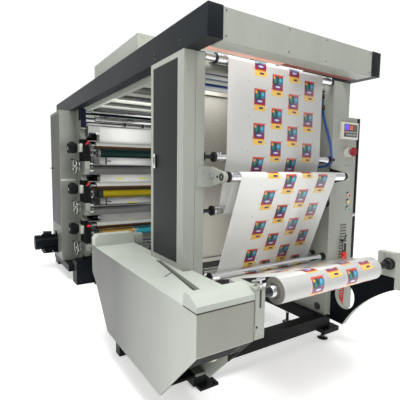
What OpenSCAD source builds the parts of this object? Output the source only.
// Stack flexographic printing press, six decks, seen from its rewind end.
// Millimetres, Z up. X runs across the web, the rewind end faces -Y,
// and the origin lies on the floor under the middle of the whole press.
// The pieces are drawn about the frame's centre line and moved by placed().

/* [Frame] */
// Half of the width over the two tower posts
half_w = 812; // [700:1:950]
// Height of the underside of the two dark side beams
beam_z = 2217; // [1950:1:2400]
// Height of a side beam
beam_h = 182; // [120:1:220]
// Width of a side beam
beam_w = 104; // [80:1:120]
// Place of the front end of the side beams
beam_front = -2460; // [-2560:1:-2350]
// Length of the side beams
beam_len = 4120; // [4000:1:4300]
// Thickness of the front and rear crossbeams
crossbeam_t = 120; // [80:1:180]
// Height of the underside of the black base rails
rail_z = 130; // [100:1:160]
// Height of a base rail
rail_h = 100; // [80:1:120]
// Width of a base rail
rail_w = 96; // [70:1:110]
// Distance of the base rails' middles inside the posts' outer faces
rail_inset = 192; // [172:1:222]

/* [Rewind tower] */
// Place of the front face of the tower posts
tower_y = -2205; // [-2260:1:-2150]
// Depth of a tower post
post_d = 476; // [420:1:520]
// Width of the left tower post
post_left_w = 155; // [130:1:170]
// Width of the right tower post
post_right_w = 200; // [170:1:215]
// Width of the control cabinet beside the right post
cabinet_w = 160; // [120:1:220]
// Height of the top of the control cabinet
cabinet_top = 1936; // [1850:1:2050]
// Gap between a guide roller's face and the right post
roller_gap = 52; // [42:1:82]
// Radius of a guide roller
guide_r = 33; // [28:1:36]
// Radius of the shafts that the guide rollers turn on
shaft_r = 10; // [8:1:13]
// Distance of the top guide roller below the side beams
top_roller_drop = 14; // [7:1:27]
// Distance of the middle guide roller below the side beams
mid_roller_drop = 650; // [617:1:677]
// Distance of the forward guide roller below the side beams
arm_roller_drop = 779; // [757:1:817]
// Distance of the hanging guide roller below the side beams
low_roller_drop = 1011; // [967:1:1117]
// Height of the nip rollers
nip_z = 741; // [720:1:800]
// Radius of a nip roller
nip_r = 29; // [24:1:32]
// Distance of the forward roller's axis in front of the posts
arm_reach = 145; // [130:1:170]

/* [Door in the left post] */
// Height of the lower edge of the door
door_z = 872; // [850:1:1000]
// Distance of the door's upper edge below the side beams
door_drop = 39; // [35:1:345]
// Width of the door
door_w = 350; // [300:1:360]
// Thickness of the door
door_t = 14; // [8:1:20]
// Gap around the door
door_gap = 5; // [4:0.5:7]

/* [Rewind station] */
// Distance of the rewind shaft in front of the posts
rewind_reach = 505; // [490:1:520]
// Height of the rewind shaft
rewind_z = 799; // [780:1:820]
// Radius of the wound roll
roll_r = 79; // [60:1:100]
// Margin between the web's edge and the end of a guide roller's face
web_margin = 96; // [70:1:150]
// Distance of the web's middle left of the centre line
web_shift = 22; // [0:1:40]
// Width of the drive casing
casing_w = 278; // [240:1:320]
// Height of the top of the drive casing
casing_top = 830; // [820:1:850]
// Height of the underside of the drive casing
casing_z = 223; // [180:1:260]
// Distance of the casing's front face in front of the posts
casing_reach = 625; // [610:1:640]
// Distance of the casing's rear edge behind the posts' front faces
casing_back = 1064; // [1000:1:1150]
// Thickness of the casing's sheet
casing_t = 12; // [8:1:16]
// Radius of the concave underside of the right arm
arm_curve_r = 989; // [900:1:1100]

/* [Print unit] */
// Place of the front face of the print unit's side frames
print_y = 840; // [800:1:900]
// Depth of the print unit's side frames
print_d = 626; // [580:1:680]
// Distance of a side frame's outer face outside the posts' outer faces
print_overhang = 126; // [108:1:168]
// Width of a side frame
print_w = 291; // [260:1:320]
// Height of the lowest deck's ink roller above the base rails
deck_rise = 386; // [370:1:410]
// Distance of the top deck's ink roller below the side beams
deck_drop = 557; // [540:1:600]
// Radius of an impression cylinder
impression_r = 85; // [75:1:88]
// Radius of a plate cylinder
plate_r = 47; // [40:1:50]
// Radius of an ink roller
ink_r = 54; // [45:1:60]
// Distance of the deck brackets' inner faces inside the posts' outer faces
bracket_inset = 132; // [112:1:152]
// Gap between a print cylinder's face and the deck bracket
print_gap = 90; // [70:1:110]
// Gap between an ink tray and the plate cylinder of the deck below
tray_gap = 105; // [80:1:130]
// Height of the seam across the front of the side frames
seam_z = 1300; // [1200:1:1400]
// Height of the front plinth's top above the floor
plinth_h = 300; // [240:1:320]
// Distance of the front plinth's face in front of the side frames
plinth_reach = 480; // [440:1:500]
// Radius of a deck handwheel
wheel_r = 100; // [80:1:110]
// Height of the main motor's axis
motor_z = 417; // [400:1:440]
// Radius of the main motor
motor_r = 98; // [80:1:105]

/* [Overhead dryer] */
// Place of the dryer's front end
dryer_y = -1560; // [-1620:1:-1400]
// Length of the dryer
dryer_len = 2040; // [1800:1:2060]
// Number of nozzle boxes under the dryer
nozzle_count = 9; // [6:1:10]
// Height of the exhaust box above the beams
exhaust_h = 202; // [150:1:260]
// Length of the exhaust box
exhaust_len = 1240; // [900:1:1300]

/* [Unwind stand] */
// Distance of the unwind shaft behind the print unit's side frames
unwind_reach = 984; // [960:1:1040]
// Height of the unwind shaft
unwind_z = 800; // [760:1:840]
// Radius of the unprinted roll
unwind_r = 220; // [150:1:230]
// Distance of the stand's outer faces inside the posts' outer faces
stand_inset = 252; // [232:1:272]
// Half of the length of the stand's foot
stand_reach = 240; // [200:1:280]

/* [Controls] */
// Height of the lower edge of the display
display_z = 1750; // [1700:1:1780]
// Width of the display
display_w = 217; // [180:1:230]
// Height of the display
display_h = 142; // [120:1:160]
// Height of the emergency stop
stop_z = 1643; // [1600:1:1680]
// Height of the lowest of the three buttons
button_z = 1146; // [1120:1:1180]
// Distance from one button to the next
button_pitch = 62; // [50:1:70]
// Height of the lock
lock_z = 1093; // [1060:1:1100]
// Height of the lowest louvre
louvre_z = 722; // [700:1:760]
// Distance from one louvre to the next
louvre_pitch = 26; // [22:1:28]
// Height of the hook that the blow gun hangs on
gun_z = 868; // [850:1:890]

/* [Film] */
// Thickness of the film as modelled
film_t = 1; // [0.6:0.1:1.5]
// Gap between the film and the rollers that carry it
film_gap = 0.1; // [0.05:0.05:0.3]

/* [Hidden] */
$fn = 48;
// Radial clearance of a turning shaft in its seat
fit = 0.05;
// Depth of the seat of a shaft's end
seat = 18;
// Small overlap that makes a cut pass right through
eps = 1;
rail_top = rail_z + rail_h;
print_floor = rail_top - 15;
top_roller_z = beam_z - top_roller_drop;
mid_roller_z = beam_z - mid_roller_drop;
arm_roller_z = beam_z - arm_roller_drop;
low_roller_z = beam_z - low_roller_drop;
door_h = beam_z - door_drop - door_z;
inner_left = -half_w + post_left_w;
inner_right = half_w - post_right_w;
rail_x = half_w - rail_inset;
roller_face = 2*(inner_right - roller_gap);
web_w = roller_face - 2*web_margin;
print_x = half_w + print_overhang;
stand_out = half_w - stand_inset;
stand_t = 40;
tower_back = tower_y + post_d;
roller_y = tower_y + 20;
arm_roller_y = tower_y - arm_reach;
low_roller_y = tower_y + 35;
nip_y = tower_y + 48;
nip_rear_y = nip_y + 107;
rewind_y = tower_y - rewind_reach;
casing_front = tower_y - casing_reach;
casing_rear = tower_y + casing_back;
casing_x = -half_w - casing_w;
station_x = half_w - 68;
cheek_w = 70;
cheek_in = station_x - cheek_w;
web_x0 = -web_shift - web_w/2;
print_back = print_y + print_d;
print_mid = print_y + print_d/2;
print_in = print_x - print_w;
impression_y = print_y - 150;
plate_y = impression_y - 145;
ink_y = plate_y - 75;
impression_dz = 190;
plate_dz = 95;
deck_count = 3;
deck_z = rail_top + deck_rise;
deck_pitch = (beam_z - deck_drop - deck_z)/(deck_count - 1);
bracket_top = 300;
// Depth of an ink tray's floor and of a bracket's foot below the ink roller's axis
tray_drop = deck_pitch - plate_dz - plate_r - tray_gap;
bracket_drop = tray_drop;
bracket_in = half_w - bracket_inset;
print_face = 2*(bracket_in - print_gap);
bracket_w = 60;
bracket_out = bracket_in + bracket_w;
// Radius of a turning roller, and the distance of its axis from the film's middle
turn_r = 40;
turn_reach = turn_r + film_gap + film_t/2;
// Planes of the film's middle in front of the cylinders and behind them
front_web_y = impression_y - impression_r - film_gap - film_t/2;
rear_web_y = 2*print_mid - front_web_y;
bottom_turn_z = rail_top + 45;
top_turn_z = beam_z - 97;
// Span of the main motor beyond the left side frame
motor_reach = 282;
// Height of the middle of the arched way in
arch_z = motor_z + 33;
unwind_y = print_back + unwind_reach;
hub_r = 38;
door_y = tower_back - 42 - door_w;
// Middle of the outer box, which the origin lies under
origin_x = (half_w + cabinet_w - print_x - motor_reach)/2;
origin_y = (unwind_y + stand_reach + casing_front)/2;

// Extrudes a profile drawn in Y and Z along X, from x0 to x1
module across(x0, x1) {
  translate([x0, 0, 0]) rotate([90, 0, 90]) linear_extrude(x1 - x0) children();
}

// Makes a round bar along X, from x0 to x1
module bar_x(x0, x1, y, z, r) {
  translate([x0, y, z]) rotate([0, 90, 0]) cylinder(r = r, h = x1 - x0);
}

// Copies a piece to the other side of the centre line too
module both_sides() {
  children();
  mirror([1, 0, 0]) children();
}

// Makes a box between two opposite corners
module box(a, b) {
  translate(a) cube(b - a);
}

// Moves a piece from the frame's centre line to the origin's place
module placed() {
  translate([-origin_x, -origin_y, 0]) children();
}

function deck_height(i) = deck_z + (i - 1)*deck_pitch;

// Cuts the seats of the tower's rollers into a post
module tower_seats() {
  for (p = [[roller_y, top_roller_z], [roller_y, mid_roller_z], [low_roller_y, low_roller_z],
      [nip_y, nip_z], [nip_rear_y, nip_z]])
    bar_x(inner_left - seat - fit, inner_right + seat + fit, p[0], p[1], shaft_r + fit);
}

module base_frame() placed() {
  color("#16191c") {
    both_sides() box([rail_x - rail_w/2, tower_y + 80, rail_z],
      [rail_x + rail_w/2, print_y - plinth_reach, rail_top]);
    box([-rail_x - rail_w/2, tower_y - 15, rail_z], [rail_x + rail_w/2, tower_y + 80, rail_top]);
    for (y = [tower_back + 300, tower_back + 1300])
      box([-rail_x + rail_w/2, y, rail_z], [rail_x - rail_w/2, y + 80, rail_top]);
    both_sides() box([print_x - 118, print_y - 280, rail_z], [print_x - 18, print_back + 20, print_floor]);
  }
}

module levelling_feet() placed() {
  color("#101214") {
    // Right front foot with its round disc
    box([rail_x - 68, tower_y - 60, 92], [rail_x + 114, tower_y + 90, rail_z]);
    translate([rail_x + 30, tower_y + 40, 0]) {
      cylinder(r1 = 44, r2 = 34, h = 18);
      cylinder(r = 14, h = 92);
    }
    // Left front foot with its flat sole
    box([-rail_x - 102, tower_y - 10, 20], [-rail_x + 8, tower_y + 100, rail_z]);
    box([-rail_x - 72, tower_y - 50, 0], [-rail_x + 76, tower_y + 110, 20]);
    // Feet along the base rails
    both_sides() for (y = [tower_back - 40, print_y - plinth_reach - 49]) translate([rail_x, y, 0]) {
      cylinder(r1 = 44, r2 = 34, h = 18);
      cylinder(r = 14, h = rail_z);
    }
    // Leg under the drive casing
    box([casing_x + 90, tower_y + 655, 0], [casing_x + 150, tower_y + 740, casing_z]);
  }
}

module tower_post_left() placed() {
  color("#b4b7ae") difference() {
    box([-half_w, tower_y, rail_top], [inner_left, tower_back, beam_z]);
    tower_seats();
    box([-half_w - eps, door_y - door_gap, door_z - door_gap],
      [-half_w + door_t + 6, door_y + door_w + door_gap, door_z + door_h + door_gap]);
    translate([-half_w + door_t/2, door_y + 8, door_z - door_gap - 12 - fit])
      cylinder(r = 4 + fit, h = door_h + 2*door_gap + 24 + 2*fit);
    // Seam between the post's cover and its inner plate
    box([-half_w + 84, tower_y - eps, rail_top - eps], [-half_w + 88, tower_y + 3, beam_z + eps]);
  }
}

module tower_post_right() placed() {
  color("#b4b7ae") difference() {
    union() {
      box([inner_right, tower_y, rail_top], [half_w, tower_back, beam_z]);
      // Cabinet beside the post, behind the same front sheet
      box([half_w, tower_y, rail_top], [half_w + cabinet_w, tower_back, cabinet_top]);
    }
    tower_seats();
    for (i = [0:11])
      box([half_w - 37, tower_y - eps, louvre_z + i*louvre_pitch], [half_w + 33, tower_y + 6, louvre_z + 9 + i*louvre_pitch]);
    // Two small holes above the buttons
    for (x = [-8, 24]) translate([half_w + x, tower_y + 8, 1528]) rotate([90, 0, 0]) cylinder(r = 5, h = 9);
  }
}

module post_door() placed() {
  color("#3b4247") {
    box([-half_w, door_y, door_z], [-half_w + door_t, door_y + door_w, door_z + door_h]);
    // Pivot pins at the top and bottom of the front edge
    translate([-half_w + door_t/2, door_y + 8, door_z - door_gap - 12]) cylinder(r = 4, h = door_h + 2*door_gap + 24);
    // Latch with its lever
    box([-half_w - 8, door_y + door_w - 45, door_z + 620], [-half_w, door_y + door_w - 20, door_z + 710]);
    box([-half_w - 20, door_y + door_w - 40, door_z + 640], [-half_w - 8, door_y + door_w - 25, door_z + 690]);
  }
}

module control_panel() placed() {
  color("#d4d4cc") {
    x = half_w - 107;
    box([x, tower_y - 22, display_z], [x + display_w, tower_y, display_z + display_h]);
    box([x + 15, tower_y - 26, display_z + 14], [x + display_w - 15, tower_y - 22, display_z + display_h - 14]);
    for (i = [0:2]) translate([half_w + 34, tower_y, button_z + i*button_pitch]) rotate([90, 0, 0]) {
      cylinder(r = 15, h = 6);
      cylinder(r = 11, h = 20);
    }
    translate([half_w + 122, tower_y, lock_z]) rotate([90, 0, 0]) cylinder(r = 13, h = 14);
    // Collar of the emergency stop, a ring around the button's stem
    translate([half_w - 2, tower_y, stop_z]) rotate([90, 0, 0]) difference() {
      cylinder(r = 40, h = 34);
      translate([0, 0, -eps]) cylinder(r = 12 + fit, h = 36);
    }
  }
}

module emergency_stop() placed() {
  color("#b01018") translate([half_w - 2, tower_y - 6, stop_z]) rotate([90, 0, 0]) {
    cylinder(r = 12, h = 46);
    translate([0, 0, 42]) cylinder(r1 = 30, r2 = 40, h = 14);
    translate([0, 0, 56]) cylinder(r1 = 40, r2 = 34, h = 14);
  }
}

module tower_back_panel() placed() {
  color("#bcbeb6") {
    z0 = nip_z - 11;
    z1 = beam_z - 127;
    fold = 30;
    box([inner_left, tower_back - 26, z0], [inner_right, tower_back - 20, z1]);
    for (z = [z0, z1 - fold]) box([inner_left, tower_back - 20 - fold, z], [inner_right, tower_back - 20, z + fold]);
  }
}

module side_beams() placed() {
  color("#474d54") both_sides()
    box([half_w - beam_w, beam_front, beam_z], [half_w, beam_front + beam_len, beam_z + beam_h]);
}

module crossbeams() placed() {
  color("#b0b3aa") {
    box([-half_w + beam_w, beam_front + 2, beam_z + 1], [half_w - beam_w, beam_front + crossbeam_t, beam_z + beam_h - 2]);
    box([-half_w + beam_w, beam_front + beam_len - crossbeam_t, beam_z + 1],
      [half_w - beam_w, beam_front + beam_len - 2, beam_z + beam_h - 2]);
  }
}

module overhead_dryer() placed() {
  box_w = half_w - beam_w;
  pitch = (dryer_len - 60)/nozzle_count;
  color("#c2c5bd") {
    // Hood between the side beams
    box([-box_w, dryer_y, beam_z + 60], [box_w, dryer_y + dryer_len, beam_z + beam_h]);
    // Nozzle boxes across its underside
    for (i = [0:nozzle_count - 1]) translate([0, dryer_y + 30 + i*pitch, beam_z + 30])
      box([-box_w + 40, 0, 0], [box_w - 40, pitch - 50, 30]);
    // Rails beside the side beams
    both_sides() box([box_w - 60, dryer_y, beam_z - 40], [box_w - 20, dryer_y + dryer_len, beam_z + 60]);
    // Exhaust box above the beams
    box([-half_w + 88, dryer_y + 290, beam_z + beam_h],
      [half_w - 88, dryer_y + 290 + exhaust_len, beam_z + beam_h + exhaust_h]);
  }
}

module print_frame() {
  difference() {
    box([print_in, print_y, print_floor], [print_x, print_back, beam_z]);
    // Inset panel on the outer face
    box([print_x - 6, print_y + 26, deck_z + 64], [print_x + eps, print_back - 26, beam_z - 26]);
    // Seam across the front face
    box([print_in - eps, print_y - eps, seam_z], [print_x + eps, print_y + 3, seam_z + 4]);
  }
}

module print_frames() placed() {
  color("#a3a79e") {
    print_frame();
    mirror([1, 0, 0]) difference() {
      print_frame();
      // Arched way in for the main motor
      bar_x(print_x - 60, print_x + eps, print_y + 390, arch_z, motor_r + 22);
      box([print_x - 60, print_y + 390 - motor_r - 22, rail_top + 20],
        [print_x + eps, print_y + 390 + motor_r + 22, arch_z]);
    }
  }
}

// Front view of a plinth with its rounded upper corners
module plinth_profile(h) {
  w = print_x - 68;
  polygon([[-w, 0], [w, 0], [w, h - 30], [w - 9, h - 9], [w - 30, h],
    [30 - w, h], [9 - w, h - 9], [-w, h - 30]]);
}

module print_plinths() placed() {
  color("#141c26") for (y = [print_y - plinth_reach, print_back + 20])
    translate([0, y + 200, 0]) rotate([90, 0, 0]) linear_extrude(200)
      plinth_profile(y < print_y ? plinth_h : print_floor);
}

// Round roller with a thinner shaft at both ends
module roller(y, z, r, face, s0, s1, sr) {
  bar_x(-face/2, face/2, y, z, r);
  bar_x(s0, s1, y, z, sr);
}

module transport_rollers() placed() {
  color("#c9ccce") {
    for (y = [front_web_y + turn_reach, rear_web_y + turn_reach])
      roller(y, bottom_turn_z, turn_r, print_face, -bracket_in, bracket_in, 14);
    roller(rear_web_y - turn_reach, top_turn_z, turn_r, print_face, -bracket_in, bracket_in, 14);
    roller(print_mid + turn_reach, top_turn_z, turn_r, print_face, -print_in, print_in, 14);
    roller(print_mid - turn_reach, bottom_turn_z, turn_r, print_face, -print_in, print_in, 14);
    roller(front_web_y - turn_reach, top_roller_z + guide_r - turn_r, turn_r, print_face,
      -bracket_in, bracket_in, 14);
  }
}

module impression_cylinder(i) {
  color("#d6d8da") roller(impression_y, deck_height(i) + impression_dz, impression_r, print_face,
    -bracket_in - seat, bracket_in + seat, 22);
}
module impression_cylinder_1() placed() impression_cylinder(1);
module impression_cylinder_2() placed() impression_cylinder(2);
module impression_cylinder_3() placed() impression_cylinder(3);

module plate_cylinders() placed() {
  color("#4a3a2c") for (i = [1:deck_count])
    roller(plate_y, deck_height(i) + plate_dz, plate_r, print_face - 60, -bracket_in, bracket_in, 16);
}

module ink_roller(i, tone) {
  color(tone) roller(ink_y, deck_height(i), ink_r, print_face - 60, -bracket_in - seat, bracket_in + seat, 16);
}
module ink_roller_1() placed() ink_roller(1, "#8a6a2a");
module ink_roller_2() placed() ink_roller(2, "#b9a21c");
module ink_roller_3() placed() ink_roller(3, "#12463f");

// Ink tray of one deck, a folded pan under the ink roller
module tray(z) {
  floor_z = z - tray_drop;
  across(-bracket_in, bracket_in) polygon([[ink_y - 90, floor_z + 125], [ink_y - 90, floor_z + 75],
    [ink_y - 40, floor_z], [ink_y + 90, floor_z], [ink_y + 115, floor_z + 115], [ink_y + 107, floor_z + 117],
    [ink_y + 84, floor_z + 8], [ink_y - 36, floor_z + 8], [ink_y - 82, floor_z + 78],
    [ink_y - 82, floor_z + 125]]);
}

module ink_trays() placed() {
  color("#8f9392") for (i = [1:deck_count]) {
    tray(deck_height(i));
    translate([0, 2*print_mid, 0]) mirror([0, 1, 0]) tray(deck_height(i));
  }
}

// Bracket plate that carries one deck's cylinders at one end
module deck_bracket(z) {
  difference() {
    across(bracket_in, bracket_out) polygon([[print_y, z + bracket_top], [impression_y - 60, z + bracket_top],
      [ink_y - 20, z + 90], [ink_y - 90, z + 70], [ink_y - 90, z - 200], [ink_y - 40, z - bracket_drop],
      [ink_y + 130, z - bracket_drop], [print_y, z - 150]]);
    bar_x(bracket_in - eps, bracket_in + seat + fit, impression_y, z + impression_dz, 22 + fit);
    bar_x(bracket_in - eps, bracket_in + seat + fit, ink_y, z, 16 + fit);
    bar_x(bracket_out - seat - fit, bracket_out + eps, ink_y + 60, z - 175, 9 + fit);
  }
}

// All the bracket plates on the left or right of the front decks
module deck_plates() {
  for (i = [1:deck_count]) deck_bracket(deck_height(i));
  // Upper plate that holds the turning roller and the guide bar
  box([bracket_in, front_web_y - 2*turn_r, deck_height(deck_count) + bracket_top - eps], [bracket_out, print_y, beam_z]);
  // Lower plate that holds the bottom turning roller
  box([bracket_in, front_web_y - 4, print_floor], [bracket_out, print_y, deck_z - 200]);
}

module deck_brackets() placed() {
  color("#a9ada5") both_sides() {
    deck_plates();
    translate([0, 2*print_mid, 0]) mirror([0, 1, 0]) deck_plates();
  }
}

module deck_motors() placed() {
  color("#15181b") for (i = [1:deck_count]) {
    box([-bracket_out - 34, ink_y + 110, deck_height(i) + 10], [-bracket_out, ink_y + 210, deck_height(i) + 110]);
    bar_x(-bracket_out - 144, -bracket_out - 34, ink_y + 160, deck_height(i) + 58, 56);
  }
}

module handwheel(i) {
  x = -bracket_out;
  y = ink_y + 60;
  z = deck_height(i) - 175;
  color("#8d9194") {
    translate([x - 84, y, z]) rotate([0, 90, 0]) rotate_extrude() translate([wheel_r - 9, 0]) circle(r = 9);
    bar_x(x - 96, x + seat, y, z, 9);
    bar_x(x - 96, x - 60, y, z, 20);
    for (a = [0:120:240]) translate([x - 84, y, z]) rotate([a, 0, 0]) rotate([90, 0, 0]) cylinder(r = 6, h = wheel_r - 9);
    translate([x - 84, y, z + wheel_r - 9]) rotate([0, -90, 0]) cylinder(r = 8, h = 60);
  }
}
module handwheel_1() placed() handwheel(1);
module handwheel_2() placed() handwheel(2);
module handwheel_3() placed() handwheel(3);

module rear_cylinders() placed() {
  color("#b9bcbe") translate([0, 2*print_mid, 0]) mirror([0, 1, 0]) for (i = [1:deck_count]) {
    roller(impression_y, deck_height(i) + impression_dz, impression_r, print_face, -bracket_in, bracket_in, 22);
    roller(plate_y, deck_height(i) + plate_dz, plate_r, print_face - 60, -bracket_in, bracket_in, 16);
    roller(ink_y, deck_height(i), ink_r, print_face - 60, -bracket_in, bracket_in, 16);
  }
}

module main_motor() placed() {
  y = print_y + 390;
  color("#131a28") {
    bar_x(-print_x - motor_reach, -print_x + 60, y, motor_z, motor_r);
    box([-print_x - 180, y - 80, rail_top + 60], [-print_x + 58, y + 80, 340]);
    box([-print_x - 190, y - 110, rail_top + 45], [-print_x + 60, y + 110, rail_top + 60]);
  }
}

// Side profile of the drive casing
module casing_profile() {
  polygon([[casing_rear, casing_top], [casing_front, casing_top], [casing_front, casing_top - 213],
    [casing_front + 379, casing_z], [casing_rear - 391, casing_z], [casing_rear - 95, casing_top - 295],
    [casing_rear, casing_top - 227]]);
}

// Hollow of the drive casing, from its profile
module casing_inside() {
  polygon([[casing_rear - 60, casing_top - casing_t], [casing_front + casing_t, casing_top - casing_t],
    [casing_front + casing_t, casing_top - 223], [casing_front + 408, casing_z - 40],
    [casing_front + 430, casing_z + casing_t], [casing_rear - 396, casing_z + casing_t],
    [casing_rear - 107, casing_top - 290], [casing_rear - 60, casing_top - 240]]);
}

module drive_casing() placed() {
  color("#c9ccc4") {
    difference() {
      union() {
        across(casing_x, -half_w) casing_profile();
        // Wider parts in front of the post and behind it
        intersection() {
          across(-half_w - eps, -station_x) casing_profile();
          box([-half_w - eps, casing_front, casing_z], [-station_x, tower_y - 8, casing_top]);
        }
        intersection() {
          across(-half_w - eps, -station_x) casing_profile();
          box([-half_w - eps, tower_back + 8, casing_z], [-station_x, casing_rear, casing_top]);
        }
      }
      // Inside, open at the sloping front of the underside
      across(casing_x + casing_t, -half_w - 26) casing_inside();
      intersection() {
        across(casing_x + casing_t, -station_x - casing_t) casing_inside();
        box([casing_x, casing_front - 60, 0], [0, tower_y - 8 - casing_t, casing_top]);
      }
      // Long slot in the top plate
      translate([0, 0, casing_top - 6]) linear_extrude(6 + eps) polygon([[casing_x + 252, tower_y + 300],
        [casing_x + 264, tower_y + 300], [casing_x + 160, tower_y - 385], [casing_x + 144, tower_y - 385]]);
    }
    // Raised lid over the front end
    across(casing_x, -station_x) polygon([[casing_front + 125, casing_top], [casing_front + 125, casing_top + 55],
      [casing_front + 112, casing_top + 70], [casing_front + 66, casing_top + 70], [casing_front, casing_top + 32],
      [casing_front, casing_top]]);
    // Hood at the far end
    translate([casing_x, casing_rear, casing_top]) rotate([90, 0, 0]) linear_extrude(95)
      polygon([[0, 0], [casing_w + 68, 0], [casing_w + 68, 72], [casing_w + 46, 94], [24, 94], [0, 66]]);
  }
}

module drive_pulley() placed() {
  color("#d8d6bc") {
    bar_x(-station_x - 80, -station_x - 44, casing_front + 330, 470, 96);
    bar_x(-station_x - 80, -station_x - casing_t, casing_front + 330, 470, 22);
  }
}

// Cheek that holds the rewind shaft, with a slot and a hand screw on top
module cheek() {
  difference() {
    union() {
      box([cheek_in, casing_front, casing_top - 213], [station_x, casing_front + 74, casing_top + 60]);
      box([cheek_in + 6, casing_front + 74, casing_top - 130], [station_x, casing_front + 215, casing_top + 50]);
    }
    box([cheek_in + 28, casing_front - eps, casing_top - 40], [cheek_in + 40, casing_front + 20, casing_top + 40]);
    bar_x(cheek_in - eps, cheek_in + 40, rewind_y, rewind_z, 30 + fit);
  }
  translate([cheek_in + 34, casing_front + 37, casing_top + 60]) {
    cylinder(r = 7, h = 26);
    translate([-24, 0, 26]) rotate([0, 90, 0]) cylinder(r = 6, h = 48);
  }
}

module bearing_post_left() placed() {
  color("#bfc2ba") mirror([1, 0, 0]) cheek();
}

module rewind_arm_right() placed() {
  arm_x = inner_right + 78;
  color("#bfc2ba") cheek();
  color("#161d28") difference() {
    across(arm_x - 8, arm_x + 44) difference() {
      polygon([[tower_y, 185], [tower_y - 131, 180], [tower_y - 545, 590], [casing_front + 74, 590],
        [casing_front + 74, casing_top - 130], [tower_y, casing_top - 130]]);
      translate([tower_y - 1006, -270]) circle(r = arm_curve_r, $fn = 180);
      translate([tower_y - 135, 432]) scale([0.84, 1]) circle(r = 112);
    }
  }
}

module rewind_roll() placed() {
  color("#e9e9e6") {
    bar_x(web_x0, web_x0 + web_w, rewind_y, rewind_z, roll_r);
    bar_x(web_x0 - 6, web_x0 + web_w + 6, rewind_y, rewind_z, 44);
    bar_x(web_x0 - 40, web_x0 + web_w + 50, rewind_y, rewind_z, hub_r);
    bar_x(-cheek_in + 12, cheek_in - 12, rewind_y, rewind_z, 24);
    bar_x(-cheek_in - 38, cheek_in + 38, rewind_y, rewind_z, 30);
  }
}

module top_roller() placed() {
  color("#c9ccce") {
    roller(roller_y, top_roller_z, guide_r, roller_face, inner_left - seat, inner_right + seat, shaft_r);
    bar_x(inner_left + 2, -roller_face/2, roller_y, top_roller_z, 25);
  }
}
module middle_roller() placed() {
  color("#c9ccce") roller(roller_y, mid_roller_z, guide_r, roller_face, inner_left - seat, inner_right + seat, shaft_r);
}
module hanging_roller() placed() {
  color("#c9ccce") roller(low_roller_y, low_roller_z, guide_r, roller_face, inner_left - seat, inner_right + seat, shaft_r);
}
module forward_roller() placed() {
  color("#c9ccce") roller(arm_roller_y, arm_roller_z, guide_r, roller_face, -roller_face/2 - 55, roller_face/2 + 55, shaft_r);
}
module nip_roller_front() placed() {
  color("#c9ccce") roller(nip_y, nip_z, nip_r, roller_face, inner_left - seat, inner_right + seat, shaft_r);
}
module nip_roller_rear() placed() {
  color("#c9ccce") roller(nip_rear_y, nip_z, nip_r, roller_face, inner_left - seat, inner_right + seat, shaft_r);
}

module roller_brackets() placed() {
  x0 = roller_face/2 + 30;
  x1 = x0 + 30;
  color("#b8bbb3") both_sides() difference() {
    union() {
      across(x0, x1) polygon([[tower_y, arm_roller_z - 68], [tower_y, arm_roller_z + 66],
        [arm_roller_y, arm_roller_z + 32], [arm_roller_y, arm_roller_z - 32]]);
      bar_x(x0, x1, arm_roller_y, arm_roller_z, 32);
      box([x0, tower_y - 12, arm_roller_z - 68], [half_w - 100, tower_y, arm_roller_z + 66]);
    }
    bar_x(x0 - eps, x1 + eps, arm_roller_y, arm_roller_z, shaft_r + fit);
  }
}

// Bars with two rubber wheels that hold the film down
module web_guides() placed() {
  color("#2a2c2e") {
    for (p = [[roller_y + 130, beam_z + 52, half_w - beam_w], [front_web_y - 60, beam_z - 169, bracket_in]]) {
      bar_x(-p[2], p[2], p[0], p[1], 9);
      for (x = [-170, 90]) bar_x(x, x + 24, p[0], p[1], 24);
    }
  }
}

// Rollers along the film's path: Y, Z, radius, and the side that it passes
FILM_PATH = [
  [unwind_y, unwind_z, unwind_r, -1],
  [rear_web_y + turn_reach, bottom_turn_z, turn_r, -1],
  [rear_web_y - turn_reach, top_turn_z, turn_r, 1],
  [print_mid + turn_reach, top_turn_z, turn_r, 1],
  [print_mid - turn_reach, bottom_turn_z, turn_r, -1],
  [front_web_y + turn_reach, bottom_turn_z, turn_r, -1],
  [front_web_y - turn_reach, top_roller_z + guide_r - turn_r, turn_r, 1],
  [roller_y, top_roller_z, guide_r, 1],
  [roller_y, mid_roller_z, guide_r, 1],
  [low_roller_y, low_roller_z, guide_r, -1],
  [arm_roller_y, arm_roller_z, guide_r, 1],
  [nip_y, nip_z, nip_r, -1],
  [rewind_y, rewind_z, roll_r, 1]];

// Radius of the film's middle around a roller
function middle_r(p) = p[2] + film_gap + film_t/2;

// Direction of the straight run from roller a to roller b
function run_angle(a, b) = atan2(b[1] - a[1], b[0] - a[0])
  + asin((a[3]*middle_r(a) - b[3]*middle_r(b))/norm([b[0] - a[0], b[1] - a[1]]));

function run_point(p, r, a) = [p[0] + p[3]*r*sin(a), p[1] - p[3]*r*cos(a)];

// Turn from one run to the next, in the sense that the roller gives it
function turn(a, b, s) = s > 0 ? (b - a + 720)%360 : (b - a - 720)%360;

// Line of the film at one of its faces, from the unwind roll to the rewind roll.
// Around a roller its short straight pieces touch the round that the face follows.
function film_line(face) = [for (i = [0:len(FILM_PATH) - 1])
  let (p = FILM_PATH[i],
    last = len(FILM_PATH) - 1,
    a = i == 0 ? run_angle(p, FILM_PATH[1]) - p[3]*30 : run_angle(FILM_PATH[i - 1], p),
    b = i == last ? a + p[3]*40 : run_angle(p, FILM_PATH[i + 1]),
    w = turn(a, b, p[3]),
    n = max(1, ceil(abs(w)/15)),
    r = (middle_r(p) - face*p[3]*film_t/2)/cos(w/n/2))
  for (k = [0:n - 1]) run_point(p, r, a + w*(k + 0.5)/n)];

module printed_film() placed() {
  near = film_line(1);
  far = film_line(-1);
  color("#f0f0ee") across(web_x0, web_x0 + web_w)
    polygon(concat(near, [for (i = [len(far) - 1:-1:0]) far[i]]));
}

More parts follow.
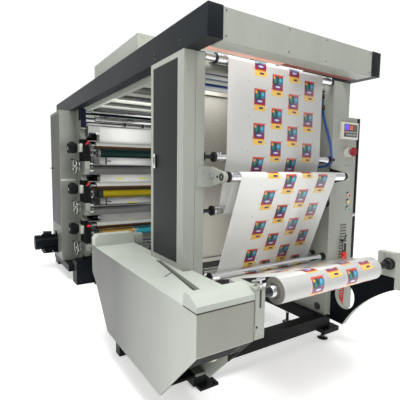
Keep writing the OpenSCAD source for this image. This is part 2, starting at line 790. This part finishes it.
module unwind_stand() placed() {
  color("#a9ada5") both_sides() difference() {
    across(stand_out - stand_t, stand_out) polygon([[unwind_y - stand_reach, 0], [unwind_y + stand_reach, 0],
      [unwind_y + stand_reach, 60], [unwind_y + 60, unwind_z + 60], [unwind_y - 60, unwind_z + 60],
      [unwind_y - stand_reach, 60]]);
    bar_x(stand_out - stand_t - eps, stand_out + eps, unwind_y, unwind_z, 30);
  }
  color("#16191c") box([-stand_out + stand_t, unwind_y - 200, 60], [stand_out - stand_t, unwind_y - 120, 140]);
}

module unwind_roll() placed() {
  color("#efefec") {
    bar_x(web_x0, web_x0 + web_w, unwind_y, unwind_z, unwind_r);
    bar_x(-stand_out - 15, stand_out + 15, unwind_y, unwind_z, 30);
  }
}

// Round tube through a list of points
module tube(points, r) {
  sides = 10;
  last = len(points) - 1;
  function along(i) = let (d = points[min(i + 1, last)] - points[max(i - 1, 0)]) d/norm(d);
  rings = [for (i = [0:last])
    let (d = along(i),
      u = cross(d, [1, 0, 0])/norm(cross(d, [1, 0, 0])),
      v = cross(d, u))
    for (k = [0:sides - 1]) points[i] + r*(u*cos(360*k/sides) + v*sin(360*k/sides))];
  polyhedron(points = rings,
    faces = concat([[for (k = [0:sides - 1]) k]],
      [for (i = [0:last - 1], k = [0:sides - 1])
        [i*sides + k, (i + 1)*sides + k, (i + 1)*sides + (k + 1)%sides, i*sides + (k + 1)%sides]],
      [[for (k = [sides - 1:-1:0]) last*sides + k]]));
}

module air_hose() placed() {
  x = inner_right - 12;
  y = roller_y;
  z = mid_roller_z;
  color("#14489a") tube([[x, y + 97, beam_z - 77], [x, y + 97, beam_z - 137], [x, y + 90, beam_z - 207],
    [x, y + 60, beam_z - 317], [x, y + 20, beam_z - 427], [x, y - 12, z + 123], [x - 1, y - 27, z + 53],
    [x - 4, y - 30, z + 3], [x - 12, y - 16, z - 34], [x - 26, y + 14, z - 50], [x - 46, y + 48, z - 56],
    [x - 74, y + 92, z - 58], [x - 104, y + 150, z - 56], [x - 126, y + 220, z - 50],
    [x - 138, y + 300, z - 40], [x - 142, y + 380, z - 36], [x - 142, tower_back - 26, z - 36]], 8);
}

// Blow gun on its hook, and the fittings that the two hoses come from
module air_gun() placed() {
  x = half_w - 20;
  color("#1b1d1f") {
    box([x - 8, tower_y - 30, gun_z], [x + 8, tower_y, gun_z + 12]);
    box([x - 8, tower_y - 46, gun_z - 88], [x + 8, tower_y - 22, gun_z + 12]);
    translate([x, tower_y - 34, gun_z + 24]) rotate([0, 30, 0]) cylinder(r = 5, h = 40);
    translate([x, tower_y - 34, gun_z + 8]) sphere(r = 15);
    box([x - 50, tower_y - 62, 300], [x - 18, tower_y, 325]);
    // Fitting on the inner face of the right post, above the blue hose
    box([inner_right - 24, roller_y + 84, beam_z - 77], [inner_right, roller_y + 110, beam_z - 52]);
  }
}

module coil_hose() placed() {
  x = half_w - 20;
  color("#c0231c") tube([[x, tower_y - 34, gun_z - 88], [x, tower_y - 34, gun_z - 128], [x - 4, tower_y - 37, 660],
    [x - 12, tower_y - 41, 550], [x - 24, tower_y - 44, 440], [x - 34, tower_y - 46, 360],
    [x - 34, tower_y - 46, 325]], 22);
}

base_frame();
levelling_feet();
tower_post_left();
tower_post_right();
post_door();
control_panel();
emergency_stop();
tower_back_panel();
side_beams();
crossbeams();
overhead_dryer();
print_frames();
print_plinths();
transport_rollers();
impression_cylinder_1();
impression_cylinder_2();
impression_cylinder_3();
plate_cylinders();
ink_roller_1();
ink_roller_2();
ink_roller_3();
ink_trays();
deck_brackets();
deck_motors();
handwheel_1();
handwheel_2();
handwheel_3();
rear_cylinders();
main_motor();
drive_casing();
drive_pulley();
bearing_post_left();
rewind_arm_right();
rewind_roll();
top_roller();
middle_roller();
forward_roller();
hanging_roller();
nip_roller_front();
nip_roller_rear();
roller_brackets();
web_guides();
printed_film();
unwind_stand();
unwind_roll();
air_hose();
air_gun();
coil_hose();
